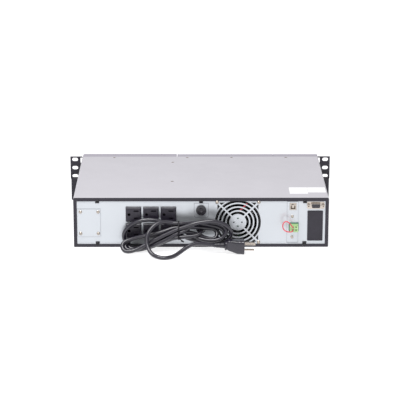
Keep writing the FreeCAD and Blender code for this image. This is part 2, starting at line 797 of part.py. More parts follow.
def make_outlets():
    """Six grounded sockets: a bevelled face block, a body behind the panel and three openings."""
    for number, (x, z) in enumerate(outlet_places(), start=1):
        outlet = new_body(f"outlet{number}")
        face = new_sketch(outlet, "XZ_Plane", "-border_depth")
        draw_rectangle(face, f"{x} - outlet_width / 2", f"{z} - outlet_height / 2",
                       "outlet_width", "outlet_height")
        pad(outlet, face, "outlet_proud", forward=False)
        front = size("border_depth") - size("outlet_proud")
        round_edges(outlet, "PartDesign::Chamfer", "outlet_bevel",
                    lambda edge: edge.BoundBox.YLength < 1e-6 and abs(edge.CenterOfMass.y - front) < 1e-3)
        behind = new_sketch(outlet, "XZ_Plane", "-border_depth")
        draw_rectangle(behind, f"{x} - outlet_width / 2 + outlet_shrink",
                       f"{z} - outlet_height / 2 + outlet_shrink",
                       "outlet_width - 2 * outlet_shrink", "outlet_height - 2 * outlet_shrink")
        pad(outlet, behind, "outlet_depth")
        contacts = new_sketch(outlet, "XZ_Plane", "outlet_proud - border_depth")
        for width, rise in (("wide_slot", "blade_slot_rise"), ("narrow_slot", "-blade_slot_rise")):
            draw_rectangle(contacts, f"{x} + blade_slot_x - {width} / 2",
                           f"{z} + {rise} - blade_slot_height / 2", width, "blade_slot_height")
        draw_circle(contacts, f"{x} + ground_x", z, "ground_radius")
        pocket(outlet, contacts, "contact_depth")
        node(outlet, f"outlet_{number}")


def make_breaker():
    """The resettable breaker: body with two tabs, fluted ring nut and dished button."""
    neck = rod(("0", "border_depth - 2.8", "breaker_z"), "breaker_neck", "5.2")
    block_front = "border_depth + sheet_wall"
    block = box(("-breaker_block_width / 2", block_front, "breaker_z - breaker_block_height / 2"),
                ("breaker_block_width", "breaker_block_depth", "breaker_block_height"))
    bore = rod(("0", "-8", "breaker_z"), "breaker_bore", "16")
    tabs = [box(("-3.2", f"{block_front} + breaker_block_depth - 1", f"breaker_z + {offset} - 0.4"),
                ("6.4", "9", "0.8")) for offset in (-9, 9)]
    node(cut(fuse(neck, block, *tabs), bore), "breaker_body")

    face = "border_depth - breaker_nut_proud"
    edge_depth, edge_step = 0.8, 0.7
    nut = cut(fuse(rod(("0", face, "breaker_z"), f"breaker_nut - {edge_step}", "1"),
                   rod(("0", f"{face} + {edge_depth}", "breaker_z"), "breaker_nut",
                       f"breaker_nut_proud - {edge_depth}")),
              rod(("0", "-8", "breaker_z"), "breaker_neck + shaft_clearance", "20"))
    flute_count = 12
    flutes = []
    for number in range(flute_count):
        turn = 2 * math.pi * number / flute_count
        flutes.append(rod((f"(breaker_nut + 0.5) * {math.cos(turn):.4f}", "-8",
                           f"breaker_z + (breaker_nut + 0.5) * {math.sin(turn):.4f}"), "0.9", "20"))
    node(cut(nut, *flutes), "breaker_nut")

    button_face = "border_depth - breaker_button_proud"
    cap = rod(("0", button_face, "breaker_z"), "breaker_button", "breaker_button_proud + 5")
    dish = cone(("0", button_face, "breaker_z"), "2.4", "1.6", "0.5")
    node(cut(cap, dish), "breaker_button")


def make_cord_gland():
    """A strain-relief bushing: flange, ribbed tapered nose and the neck in the panel."""
    gland = [rod(("0", "border_depth - 3", "gland_z"), "gland_flange", "3"),
             rod(("0", "border_depth", "gland_z"), "gland_neck", "7"),
             cone(("0", "-gland_reach", "gland_z"), "gland_tip", "gland_neck",
                  "gland_reach + border_depth - 3")]
    rings = [rod(("0", f"-gland_reach + {reach}", "gland_z"), f"gland_tip + 0.9 + {reach} * 0.11", "1.6")
             for reach in (2.4, 6, 9.6)]
    node(fuse(*gland, *rings), "cord_gland")


# ---------------------------------------------------------------- fan

def make_fan():
    """The fan: a frame waisted between its flanges, with hub and struts, and the seven-blade rotor."""
    low_x, low_z = "fan_x - fan_side / 2", "fan_z - fan_side / 2"
    frame = fillet(box((low_x, "border_depth + sheet_wall", low_z), ("fan_side", "fan_depth", "fan_side")),
                   4, lambda edge: runs_along(edge, "y"))
    centre = ("fan_x", "border_depth", "fan_z")
    duct = rod(centre, "fan_duct", "fan_depth + 4")
    near, far = "-1", "fan_side - 2.2"
    cut_start, cut_deep, cut_long = "13", "3.2", "54"
    waist = [box((f"{low_x} + {across}", "border_depth + sheet_wall + 4", f"{low_z} + {up}"),
                 (wide, "fan_depth - 8", high))
             for across, up, wide, high in ((near, cut_start, cut_deep, cut_long),
                                            (far, cut_start, cut_deep, cut_long),
                                            (cut_start, near, cut_long, cut_deep),
                                            (cut_start, far, cut_long, cut_deep))]
    holes = [rod((x, "border_depth", z), "2.1", "fan_depth + 4") for x, z in fan_corners()]
    hub = rod(("fan_x", "strut_start", "fan_z"), "grille_hub - 0.8", "rotor_start - strut_start - 0.6")
    struts = []
    for turn in range(4):
        bar = doc.addObject("Part::Box", "strut")
        bar.setExpression("Length", bind("fan_duct + 1"))
        bar.setExpression("Width", bind("strut_depth"))
        bar.setExpression("Height", bind("strut_width"))
        rotation = Rotation(Vector(0, 1, 0), -45 + 90 * turn)
        offset = rotation.multVec(Vector(0, 0, size("strut_offset") - size("strut_width") / 2))
        start = Vector(size("fan_x"), size("strut_start"), size("fan_z")) + offset
        bar.Placement = Placement(start, rotation)
        struts.append(bar)
    inside = common(fuse(hub, *struts), rod(centre, "fan_duct + 0.5", "fan_depth"))
    bore = rod(centre, "rotor_shaft + shaft_clearance", "fan_depth")
    node(cut(fuse(cut(frame, duct, *waist, *holes), inside), bore), "fan_frame")

    rotor_hub = rod(("fan_x", "rotor_start", "fan_z"), "rotor_hub", "rotor_depth")
    shaft = rod(("fan_x", "strut_start + 1", "fan_z"), "rotor_shaft", "rotor_start - strut_start")
    blades = []
    for number in range(7):
        blade = doc.addObject("Part::Box", "blade")
        blade.setExpression("Length", bind("rotor_radius + 2 - rotor_hub"))
        blade.Width = 1.4
        blade.Height = 22
        around = Rotation(Vector(0, 1, 0), number * 360 / 7)
        tilt = Rotation(Vector(1, 0, 0), 52)
        start = Vector(size("rotor_hub") - 1, -0.7, -11)
        middle = Vector(size("fan_x"), size("rotor_start") + size("rotor_depth") / 2, size("fan_z"))
        blade.Placement = Placement(middle, around).multiply(Placement(Vector(), tilt)).multiply(
            Placement(start, Rotation()))
        blades.append(blade)
    sweep = rod(("fan_x", "rotor_start + 0.4", "fan_z"), "rotor_radius", "rotor_depth - 0.8")
    node(fuse(rotor_hub, shaft, common(fuse(*blades), sweep)), "fan_rotor")

    inner_end, outer_end = Vector(1.9, 0, 18.6), Vector(16.2, 0, 32.9)
    middle = Vector(size("fan_x"), size("strut_start") - 0.75, size("fan_z"))
    step = Vector(0.5, 0, -0.5)
    leads = [Part.makeCylinder(0.65, (outer_end - inner_end).Length, middle + inner_end + step * side,
                               outer_end - inner_end) for side in (-1, 1)]
    node(feature(Part.makeCompound(leads)), "fan_leads")
    reach = size("fan_hole_reach")
    spots = [(size("fan_x") + across * reach, size("border_depth"), size("fan_z") + up * reach)
             for across in (-1, 1) for up in (-1, 1)]
    node(screw_group(spots, AGAINST_Y, 3, 1.9, 1.7, 12), "fan_screws")


# ---------------------------------------------------------------- signal connectors

def make_usb_port():
    shell = box(("usb_x - usb_width / 2", "-0.4", "usb_z - usb_height / 2"),
                ("usb_width", "16", "usb_height"))
    mouth = box(("usb_x - usb_width / 2 + 1.5", "-1", "usb_z - usb_height / 2 + 1.5"),
                ("usb_width - 3", "10", "usb_height - 3"))
    tongue = box(("usb_x - 1.5", "0.2", "usb_z - 2.8"), ("3", "11", "5.6"))
    node(fuse(cut(shell, mouth), tongue), "usb_port")


def make_terminal_block():
    """A header shell with the pluggable block in it, and the red link wire of the block."""
    low_x = "terminal_x - terminal_width / 2"
    low_z = "terminal_z - terminal_height / 2"
    wall = "(terminal_wall + fit_gap)"
    header = cut(box((f"{low_x} - {wall}", "-2.5", f"{low_z} - {wall}"),
                     (f"terminal_width + 2 * {wall}", "12", f"terminal_height + 2 * {wall}")),
                 box((f"{low_x} - fit_gap", "-3", f"{low_z} - fit_gap"),
                     ("terminal_width + 2 * fit_gap", "10.5", "terminal_height + 2 * fit_gap")))
    node(header, "terminal_header")
    block = box((low_x, "terminal_face", low_z), ("terminal_width", "16", "terminal_height"))
    heights = [f"terminal_z + {side} * wire_pitch / 2" for side in (-1, 1)]
    entries = [rod(("wire_entry_x", "terminal_face - 1", z), "1.7", "8") for z in heights]
    drivers = [rod(("wire_entry_x + 5.4", "terminal_face - 1", z), "1.5", "4") for z in heights]
    collars = [rod(("wire_entry_x", "terminal_face + 1", z), "1.7", "6.5") for z in heights]
    step = box((low_x, "terminal_face - 1", "terminal_z + terminal_height / 2 - 1.8"),
               ("terminal_width", "4", "3"))
    node(fuse(cut(block, *entries, *drivers, step), *collars), "terminal_plug")

    wire_end = -8.5
    high, low = (size("terminal_z") + side * size("wire_pitch") / 2 for side in (1, -1))
    x = size("wire_entry_x")
    route = [(x, wire_end, high), (x, -14.5, high), (154.6, -19.3, 43.5), (150.5, -20.3, 49.6),
             (145.3, -19.8, 52.6), (140.4, -18.8, 49.4), (139, -17.8, 43), (140.8, -17.8, 36.6),
             (146.6, -19, 33), (154.2, -19.3, 32.8), (x, -14.5, low), (x, wire_end, low)]
    node(feature(tube_shape("jumper_wire", route, size("jumper_diameter"))), "jumper_wire")


def serial_outline(shrink, depth, start):
    """The D shape of the serial connector: wide side up, rounded corners."""
    top = size("serial_top_width") / 2 - shrink
    bottom = size("serial_bottom_width") / 2 - shrink
    half = size("serial_height") / 2 - shrink
    corners = [Vector(-top, start, half), Vector(top, start, half), Vector(bottom, start, -half),
               Vector(-bottom, start, -half), Vector(-top, start, half)]
    solid = Part.Face(Part.makePolygon(corners)).extrude(Vector(0, depth, 0))
    solid = solid.makeFillet(1.8 - shrink * 0.6, [edge for edge in solid.Edges if runs_along(edge, "y")])
    solid.translate(Vector(size("serial_x"), 0, size("serial_z")))
    return solid


def make_serial_port():
    front = size("border_depth") - size("serial_proud")
    wall = size("serial_wall")
    flange = Part.makeBox(size("serial_flange_width"), 0.8, size("serial_flange_height"),
                          Vector(size("serial_x") - size("serial_flange_width") / 2, 0.4,
                                 size("serial_z") - size("serial_flange_height") / 2))
    flange = flange.makeFillet(2.5, [edge for edge in flange.Edges if runs_along(edge, "y")])
    shell = flange.fuse(serial_outline(0, size("serial_proud") + 8, front))
    shell = shell.cut(serial_outline(wall, size("serial_proud") + 12, front - 1))
    for side in (-1, 1):
        place_x = size("serial_x") + side * size("jack_pitch") / 2
        shell = shell.cut(Part.makeCylinder(1.6, 4, Vector(place_x, -1, size("serial_z")), Vector(0, 1, 0)))
    node(feature(shell), "serial_shell")
    insert = serial_outline(wall + 0.05, size("serial_proud") + 7, front + 0.5)
    for count, height in ((5, 1.42), (4, -1.42)):
        for number in range(count):
            hole_x = size("serial_x") + (number - (count - 1) / 2) * 2.77
            insert = insert.cut(Part.makeCylinder(0.55, 4, Vector(hole_x, front, size("serial_z") + height),
                                                  Vector(0, 1, 0)))
    node(feature(insert), "serial_insert")
    jacks = []
    for side in (-1, 1):
        base = Vector(size("serial_x") + side * size("jack_pitch") / 2, 0.4, size("serial_z"))
        corners = [base + Vector(size("jack_radius") * math.cos(turn * math.pi / 3), 0,
                                 size("jack_radius") * math.sin(turn * math.pi / 3)) for turn in range(7)]
        hexagon = Part.Face(Part.makePolygon(corners)).extrude(Vector(0, -size("jack_length"), 0))
        stem = Part.makeCylinder(1.4, 6, base, Vector(0, 1, 0))
        bore = Part.makeCylinder(size("jack_bore"), size("jack_length") + 1,
                                 base - Vector(0, size("jack_length") + 1, 0), Vector(0, 1, 0))
        jacks.append(hexagon.fuse(stem).cut(bore))
    node(feature(Part.makeCompound(jacks)), "serial_jack_screws")


# ---------------------------------------------------------------- front

def make_front_bezel():
    width = "body_width / 2 - bezel_left"
    outer = fillet(box(("bezel_left", "cover_front", "bezel_lift"),
                       (width, "bezel_front - cover_front", "body_height - bezel_lift")), 2.2,
                   lambda edge: edge.CenterOfMass.y > size("bezel_front") - 0.1 or
                   (runs_along(edge, "y") and edge.CenterOfMass.x > 0))
    hollow = box(("bezel_left + bezel_wall", "cover_front - 1", "bezel_lift + bezel_wall"),
                 (f"{width} - 2 * bezel_wall", "bezel_front - cover_front + 1 - bezel_wall",
                  "body_height - bezel_lift - 2 * bezel_wall"))
    window = box(("window_left - fit_gap", "cover_front", "window_low - fit_gap"),
                 ("window_width + 2 * fit_gap", "40", "window_height + 2 * fit_gap"))
    rebate = box(("window_left - 3", "bezel_front - 0.8", "window_low - 3"),
                 ("window_width + 6", "4", "window_height + 6"))
    key_holes = [rod((f"key_first_x - {number} * key_pitch", "cover_front", "key_z"),
                     "key_radius + key_gap", "40") for number in range(4)]
    grooves = [box(("135", "bezel_front - 0.8", "-1"), ("1", "4", "body_height + 4")),
               box(("135", "cover_front - 1", "body_height - 0.8"), ("1", "40", "4"))]
    louvres = [box(("144", "bezel_front - bezel_wall - 1", f"{low}"), ("64", "8", "2.6"))
               for low in LOUVRE_LOWS]
    node(cut(outer, hollow, window, rebate, *key_holes, *grooves, *louvres), "front_bezel")


def make_display():
    pane = box(("window_left", "bezel_front - 0.8 - window_thickness", "window_low"),
               ("window_width", "window_thickness", "window_height"))
    node(group(pane), "display_window")
    board = box(("bezel_left + 8", "display_board_y", "10"),
                ("window_left + window_width - bezel_left - 2", "board_thickness", "62"))
    screen_start = "display_board_y + board_thickness"
    screen = box(("window_left + 2", screen_start, "window_low + 2"),
                 ("window_width - 4", f"bezel_front - 1.2 - window_thickness - ({screen_start})",
                  "window_height - 4"))
    switches = [box((f"key_first_x - {number} * key_pitch - 3", screen_start, "key_z - 3"),
                    ("6", "3.6", "6")) for number in range(4)]
    node(fuse(board, screen, *switches), "display_board")
    for number in range(4):
        x = f"key_first_x - {number} * key_pitch"
        start = "bezel_front + key_proud - key_depth"
        cap = fillet(rod((x, start, "key_z"), "key_radius", "key_depth"), 0.8,
                     lambda edge: edge.CenterOfMass.y > size("bezel_front") and edge.Length > 20)
        lip = rod((x, start, "key_z"), "key_flange", "1.4")
        stem = rod((x, f"{start} - 1.2", "key_z"), "1.5", "2")
        node(fuse(cap, lip, stem), f"button_{number + 1}")


def make_battery_door():
    width = "door_right - door_side"
    outer = fillet(box(("door_side", "door_back", "bezel_lift"),
                       (width, "door_front - door_back", "body_height - 2 * bezel_lift")), 2.2,
                   lambda edge: edge.CenterOfMass.y > size("door_front") - 0.1 or
                   (runs_along(edge, "y") and edge.CenterOfMass.x < size("door_side") + 1))
    hollow = box(("door_side + bezel_wall", "door_back - 1", "bezel_lift + bezel_wall"),
                 (f"{width} - 2 * bezel_wall", "door_front - door_back + 1 - bezel_wall",
                  "body_height - 2 * bezel_lift - 2 * bezel_wall"))
    grip_x = "(door_side + door_right) / 2 - door_grip_width / 2"
    cup = box((f"{grip_x} - 2", "door_front - door_grip_depth - 2", "door_grip_low - 2"),
              ("door_grip_width + 4", "door_grip_depth + 1", "door_grip_height + 4"))
    grip = box((grip_x, "door_front - door_grip_depth", "door_grip_low"),
               ("door_grip_width", "door_grip_depth + 2", "door_grip_height"))
    louvres = [box((left, "door_front - bezel_wall - 1", f"{low}"), ("44", "8", "2.6"))
               for left in ("door_side + 14", "door_right - 58") for low in LOUVRE_LOWS]
    node(cut(fuse(cut(outer, hollow), cup), grip, *louvres), "battery_door")


# ---------------------------------------------------------------- batteries

def make_battery_pack():
    floor = box(("pack_left", "pack_back", "pack_lift"), ("pack_width", "pack_length", "sheet_wall"))
    walls = [box((x, "pack_back", "pack_lift"), ("sheet_wall", "pack_length", "pack_wall_height"))
             for x in ("pack_left", "pack_left + pack_width - sheet_wall")]
    ends = [box(("pack_left", "pack_back", "pack_lift"), ("pack_width", "sheet_wall", "24")),
            box(("pack_left", "pack_back + pack_length - sheet_wall", "pack_lift"),
                ("pack_width", "sheet_wall", "66"))]
    pull = [box(("pack_left + pack_width / 2 - 30", "pack_back + pack_length - 0.5", "30"),
                ("60", "8", "2")),
            box(("pack_left + pack_width / 2 - 30", "pack_back + pack_length + 6", "22"),
                ("60", "1.5", "10"))]
    node(fuse(floor, *walls, *ends, *pull), "battery_tray")
    for label, start in (("battery_rear", "battery_rear_y"), ("battery_front", "battery_front_y")):
        block = fillet(box(("battery_left", start, "pack_lift + sheet_wall"),
                           ("battery_width", "battery_length", "battery_height")), 2.5,
                       lambda edge: edge.Length > size("battery_height") - 1)
        groove = box(("battery_left - 1", f"{start} + 14", "pack_lift"),
                     ("battery_width + 2", "1", "battery_height + 4"))
        kept = box(("battery_left + 0.8", f"{start} + 13", "pack_lift + sheet_wall + 0.8"),
                   ("battery_width - 1.6", "3", "battery_height - 1.6"))
        lid_line = cut(groove, kept)
        tab_height = "pack_lift + sheet_wall + battery_height - 14"
        tabs = [box((f"battery_left + {x}", f"{start} - battery_tab", tab_height),
                    ("6.4", "battery_tab + 1", "0.8")) for x in ("12", "battery_width - 18.4")]
        node(fuse(cut(block, lid_line), *tabs), label)
    top = size("pack_lift") + size("sheet_wall") + size("battery_height")
    back = size("battery_rear_y")
    front = size("battery_front_y")
    wires = []
    for x in (size("battery_left") + 60, size("battery_left") + 72):
        route = [(x, front - 4, top - 14), (x, front - 4, top - 2), (x, front - 14, top + 5),
                 (x, back + 60, top + 4.5), (x + 4, back + 28, top + 5), (x + 6, back + 3, top + 7),
                 (x + 6, back - 5, top + 2), (x + 6, back - 5, top - 18)]
        wires.append(tube_shape("battery_lead", route, 3.6))
    connector = Part.makeBox(24, 5, 14, Vector(size("battery_left") + 66, back - 5.5, top - 31))
    node(feature(Part.makeCompound([connector.fuse(wires)])), "battery_leads")


# ---------------------------------------------------------------- electronics

def make_electronics():
    board = new_body("board")
    outline = new_sketch(board, "XY_Plane", "board_height")
    draw_rectangle(outline, "board_left", "board_back", "board_width", "board_length")
    sheet_part = board.newObject("PartDesign::Pad", "pad")
    sheet_part.Profile = outline
    sheet_part.setExpression("Length", bind("board_thickness"))
    node(board, "main_board")

    top = "board_height + board_thickness"
    sinks = []
    for left in ("24", "88"):
        base = box((left, "sink_back", top), ("4", "sink_length", "sink_height"))
        fins = [box((f"{left} + 3", "sink_back", f"{top} + 6 + {number} * fin_pitch"),
                    ("sink_width - 3", "sink_length", "fin_thickness")) for number in range(13)]
        sinks.append(fuse(base, *fins))
    node(group(*sinks), "heat_sinks")
    rows = [rod(("66", f"76 + {number} * can_pitch", top), "can_radius", "can_height", ALONG_Z)
            for number in range(4)]
    node(group(*rows), "capacitors")
    core = cut(box(("-40", "60", top), ("42", "36", "34")),
               box(("-41", "68", f"{top} + 6"), ("44", "20", "22")))
    winding = box(("-38", "66.5", f"{top} + 4.5"), ("38", "23", "25"))
    ring = cut(rod(("-18", "126", top), "19", "14", ALONG_Z),
               rod(("-18", "126", f"{top} - 1"), "8", "20", ALONG_Z))
    choke = cut(rod(("-18", "176", top), "17", "18", ALONG_Z),
                rod(("-18", "176", f"{top} - 1"), "7", "22", ALONG_Z))
    node(group(fuse(core, winding), ring, choke), "inductors")
    control = box(("168", "14", "10"), ("board_thickness", "110", "66"))
    chips = [box(("168 + board_thickness", f"{y}", f"{z}"), ("1.6", "14", "10"))
             for y, z in ((40, 20), (40, 50), (80, 30))]
    relays = [box(("168 - 11", f"{y}", "40"), ("11", "20", "14")) for y in (60, 90)]
    node(fuse(control, *chips, *relays), "control_board")


# ---------------------------------------------------------------- labels and cord

def make_labels():
    thickness = 0.12
    top = size("body_height")
    plates = [Part.makeBox(31.5, 39, thickness, Vector(153.3, 26, top)),
              Part.makeBox(31, 31, thickness, Vector(185.2, 34, top))]
    node(feature(Part.makeCompound(plates)), "rating_labels")


def make_cord():
    """The power cord: leads from the gland and to the plug, and the tied hank between them."""
    diameter = size("cord_diameter")
    gland_end = Vector(0, -size("gland_reach"), size("gland_z"))
    lead_in = Part.makeCylinder(diameter / 2, 4, gland_end, Vector(0, -1, 0))
    node(feature(lead_in), "cord_lead_in")

    left_profile = [(-8, 0), (-72, 0), (-76, 5), (-24, 58), (-5, 58), (-5, 20)]
    corners = [Vector(-134, y, z) for y, z in left_profile]
    left = Part.Face(Part.makePolygon(corners + corners[:1])).extrude(Vector(92, 0, 0))
    waist = Part.makeBox(30, 20, 24, Vector(-46, -34, 24))
    right = Part.makeBox(78, 10, 42, Vector(-25, -27.5, 15))
    ends = [edge for edge in right.Edges if runs_along(edge, "y") and edge.CenterOfMass.x > 0]
    hank = left.fuse([waist, right.makeFillet(20, ends)])
    node(feature(hank.removeSplitter()), "cord_hank")

    turn = Rotation(Vector(0, 0, 1), size("plug_yaw")) * Rotation(Vector(0, 1, 0), size("plug_pitch"))
    frame = Placement(Vector(size("plug_x"), size("plug_y"), size("plug_z")), turn)
    relief_length = size("relief_length")
    route = [(-45, -40, 24), (-28, -42.5, 20), (-11, -43, 17.6), (5, -41.5, 16.4),
             tuple(frame.multVec(Vector(-relief_length, 0, 0)))]
    node(feature(tube_shape("cord_lead_out", route, diameter)), "cord_lead_out")

    along = Vector(1, 0, 0)
    collar_length = size("collar_length")
    plug_length = size("plug_length")
    relief = Part.makeCone(4.1, 5.2, relief_length, Vector(-relief_length, 0, 0), along)
    collar = Part.makeCylinder(size("collar_radius"), collar_length, Vector(), along)
    outlines = []
    for x, half_width, low, high in ((collar_length, 8, -6.9, 10), (plug_length, 11, -13.4, 9.8)):
        corners = [Vector(x, -half_width, low), Vector(x, half_width, low),
                   Vector(x, half_width, high), Vector(x, -half_width, high)]
        outlines.append(Part.makePolygon(corners + corners[:1]))
    body = relief.fuse([collar, Part.makeLoft(outlines, True)])
    body.Placement = frame
    node(feature(Part.makeCompound([body])), "plug_body")
    blade_width, blade_thickness = 6.4, 1.5
    middle = size("prong_height")
    blades = [Part.makeBox(17, blade_width, blade_thickness,
                           Vector(plug_length, size("blade_offset") - blade_width / 2,
                                  middle + side * size("blade_spread") - blade_thickness / 2))
              for side in (-1, 1)]
    pin = Part.makeCylinder(2.4, 20, Vector(plug_length, size("pin_offset"), middle), along)
    prongs = Part.makeCompound(blades + [pin])
    prongs.Placement = frame
    node(feature(Part.makeCompound([prongs])), "plug_blades")
    band = Part.makeBox(3, 25, 29, Vector(-40, -36.5, 21.5))
    band = band.cut(Part.makeBox(5, 20.02, 24.02, Vector(-41, -34.01, 23.99)))
    tails = Part.makeBox(3, 0.6, 16, Vector(-40, -37.1, 8))
    node(feature(band.fuse(tails)), "twist_tie")


make_base_tray()
make_top_cover()
make_rear_frame("rear_frame_upper", "seam_height + seam_gap", "body_height", "cover_fold", "tab_top",
                "seam_height - 5", "body_height - border_top")
make_rear_frame("rear_frame_lower", "0", "seam_height", "tray_fold", "tab_bottom",
                "border_bottom", "seam_height + 5")
make_rear_panel()
make_case_screws()
make_rack_ears()
make_ear_screws()
make_plates()
make_outlets()
make_breaker()
make_cord_gland()
make_fan()
make_usb_port()
make_terminal_block()
make_serial_port()
make_front_bezel()
make_display()
make_battery_door()
make_battery_pack()
make_electronics()
make_labels()
make_cord()
doc.recompute()

# ---------------------------------------------------------------- checks and files

for item in doc.Objects:
    if "Invalid" in item.State or "Error" in item.State:
        raise RuntimeError(f"{item.Name} ({item.Label}) failed: {item.State}")
os.makedirs("parts", exist_ok=True)
for part in nodes:
    if part.Shape.isNull() or not part.Shape.isValid() or not part.Shape.Solids:
        raise RuntimeError(f"{part.Label}: its shape is not a valid solid")
    part.Shape.exportStep(f"parts/{part.Label}.step")
whole = FreeCAD.BoundBox()
for part in nodes:
    whole.add(part.Shape.BoundBox)
print(len(nodes), "sub-parts,", f"{whole.XLength:.1f} x {whole.YLength:.1f} x {whole.ZLength:.1f} mm")
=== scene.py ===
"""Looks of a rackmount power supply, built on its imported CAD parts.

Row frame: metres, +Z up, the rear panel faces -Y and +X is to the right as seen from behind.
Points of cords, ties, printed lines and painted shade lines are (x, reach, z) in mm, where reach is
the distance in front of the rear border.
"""
import math

import bmesh
import bpy
from mathutils import Matrix, Vector


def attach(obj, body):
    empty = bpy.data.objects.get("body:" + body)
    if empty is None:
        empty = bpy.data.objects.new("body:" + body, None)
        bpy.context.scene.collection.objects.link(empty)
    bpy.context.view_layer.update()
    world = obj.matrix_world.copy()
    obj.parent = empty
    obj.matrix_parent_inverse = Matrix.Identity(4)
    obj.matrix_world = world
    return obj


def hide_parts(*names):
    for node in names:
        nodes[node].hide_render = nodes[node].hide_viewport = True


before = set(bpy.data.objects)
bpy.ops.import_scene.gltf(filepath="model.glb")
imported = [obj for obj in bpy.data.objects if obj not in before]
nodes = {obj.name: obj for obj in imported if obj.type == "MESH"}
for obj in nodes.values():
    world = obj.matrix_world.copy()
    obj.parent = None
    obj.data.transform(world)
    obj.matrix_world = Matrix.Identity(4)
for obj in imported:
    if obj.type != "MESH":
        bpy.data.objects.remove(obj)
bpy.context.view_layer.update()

MM = 0.001
BORDER_Y = -140.0                       # outer face of the rear border, mm
PANEL_REACH = -1.2                      # outer face of the rear panel, behind the border
FAN_CENTRE = (0.0631, -0.13, 0.0442)    # middle of the fan's hub, m
CORD_RADIUS = 3.5                       # power cord, mm
GLAND_EXIT = (0, 16, 35.2)              # where the power cord leaves its gland
JUMPER_RADIUS = 1.0                     # red link wire, mm


def at(x, reach, z):
    """A point given as x, reach and z in mm, as metres in the row frame."""
    return Vector((x * MM, (BORDER_Y - reach) * MM, z * MM))


# ---------------------------------------------------------------------------------------- camera

CAMERA_PLACE = (-0.0202, -3.0417, 0.9379)
CAMERA_PITCH, CAMERA_YAW, CAMERA_ROLL = 16.39, 0.36, 0.06    # degrees: downwards, towards +X
CAMERA_LENS, CAMERA_SENSOR = 159.1, 36                       # mm


def make_camera():
    """The viewpoint: behind the rear panel, a little above it."""
    pitch, yaw, roll = (math.radians(angle) for angle in (CAMERA_PITCH, CAMERA_YAW, CAMERA_ROLL))
    forward = Vector((math.cos(pitch) * math.sin(yaw), math.cos(pitch) * math.cos(yaw),
                      -math.sin(pitch)))
    level = Vector((math.cos(yaw), -math.sin(yaw), 0))
    upward = level.cross(forward)
    right = math.cos(roll) * level + math.sin(roll) * upward
    top = math.cos(roll) * upward - math.sin(roll) * level
    data = bpy.data.cameras.new("camera")
    data.sensor_width = CAMERA_SENSOR
    data.lens = CAMERA_LENS
    data.clip_start = 0.1
    data.clip_end = 60
    camera = bpy.data.objects.new("camera", data)
    bpy.context.scene.collection.objects.link(camera)
    turn = Matrix((right, top, -forward)).transposed().to_4x4()
    camera.matrix_world = Matrix.Translation(CAMERA_PLACE) @ turn
    bpy.context.scene.camera = camera


# ----------------------------------------------------------------------------------------- cords

TIE_X = -38.5              # middle of the waist of the hank
TIE_HALF = 7.0             # a strand runs straight for this far to either side of it
STRANDS_IN_TIE = {         # (reach, z) of each strand at the waist, the outer ones first
    "low front": (31, 27),
    "middle front": (31, 34.5),
    "high front": (31, 42),
    "top": (24, 49.7),
    "high back": (17, 43),
    "middle back": (17, 36),
    "low back": (23, 28),
    "low core": (24, 35.5),
    "high core": (24, 42.5),
}
FOLD_POINTS = 4
FOLD_BULGE = 1.08          # how far a fold's points lie outside its half circle, as a factor


def through_tie(strand, side, rise=0.0):
    """Carries a strand through the tie, towards +X or -X, climbing by rise towards +X."""
    reach, z = STRANDS_IN_TIE[strand]
    return [(TIE_X + way * TIE_HALF, reach, z + way * rise) for way in (-side, side)]


def fold(x, start, end, side):
    """A half turn in even steps from start to end, each a (reach, z), bulging towards +X or -X."""
    middle = [(start[i] + end[i]) / 2 for i in (0, 1)]
    half = [(end[i] - start[i]) / 2 for i in (0, 1)]
    radius = math.hypot(*half) * FOLD_BULGE
    points = []
    for step in range(FOLD_POINTS):
        angle = math.radians(180 * (step + 0.5) / FOLD_POINTS - 90)
        across = FOLD_BULGE * math.sin(angle)
        points.append((x + side * radius * math.cos(angle),
                       middle[0] + half[0] * across,
                       middle[1] + half[1] * across))
    return points


def lead_in():
    """Straight out of the gland, then down and round towards the tie."""
    return [GLAND_EXIT, (0, 20.5, 35.2), (-1, 25.5, 33.6), (-6, 28.8, 30.6), (-14, 30.4, 29),
            (-24, 31, 28.6)]


def left_back_turn():
    """The rearmost long turn of the bundle on the left, lower side first."""
    lower = [(-56, 28, 21.5), (-68, 26.3, 16), (-80, 25, 10.5), (-92, 24, 6), (-104, 23.5, 3.6)]
    upper = [(-107, 8.4, 21), (-95, 10.8, 24.4), (-82, 13.5, 26.4), (-68, 15, 29), (-55, 16, 33)]
    return lower + fold(-114.5, (23.4, 3.5), (8.2, 18), -1) + upper


def left_middle_turn():
    """The middle long turn on the left, lower side first."""
    lower = [(-56, 31.5, 25.5), (-68, 31.8, 19.5), (-80, 31.5, 14), (-92, 31, 9), (-104, 30.5, 5)]
    upper = [(-112, 15.7, 21.4), (-100, 17.6, 24.8), (-86, 20, 27.2), (-71, 21.3, 29.6),
             (-57, 22.3, 33)]
    return lower + fold(-119.5, (30.8, 3.5), (15.4, 18), -1) + upper


def left_front_turn():
    """The nearest long turn on the left, upper side first; its fold is the hank's far end."""
    upper = [(-56, 25.5, 39), (-66, 26.6, 35.6), (-80, 27, 32), (-95, 25.6, 28.4),
             (-107, 23.6, 25.4), (-117, 22.4, 22)]
    lower = [(-116, 36.5, 4.6), (-103, 34.8, 10.5), (-90, 33, 17.5), (-75, 32, 25.2),
             (-60, 31.5, 32.5)]
    return upper + fold(-124, (22.2, 18.4), (37.8, 3.6), -1) + lower


def left_arch():
    """The wide turn that lies along the panel and arches over the outlets, lower side first."""
    return [(-56, 19, 23.5), (-68, 16, 18), (-81, 13, 11.5), (-94, 10.5, 6.5), (-106, 9, 4),
            (-116, 8.7, 4), (-126, 9, 7.5), (-131.5, 9.5, 15.5), (-133, 10, 25), (-130, 10.5, 33),
            (-123.5, 11.3, 41), (-113.5, 12, 47.5), (-101, 12.5, 52), (-87, 12.7, 53.4),
            (-72, 13, 51), (-58, 14.5, 46.8)]


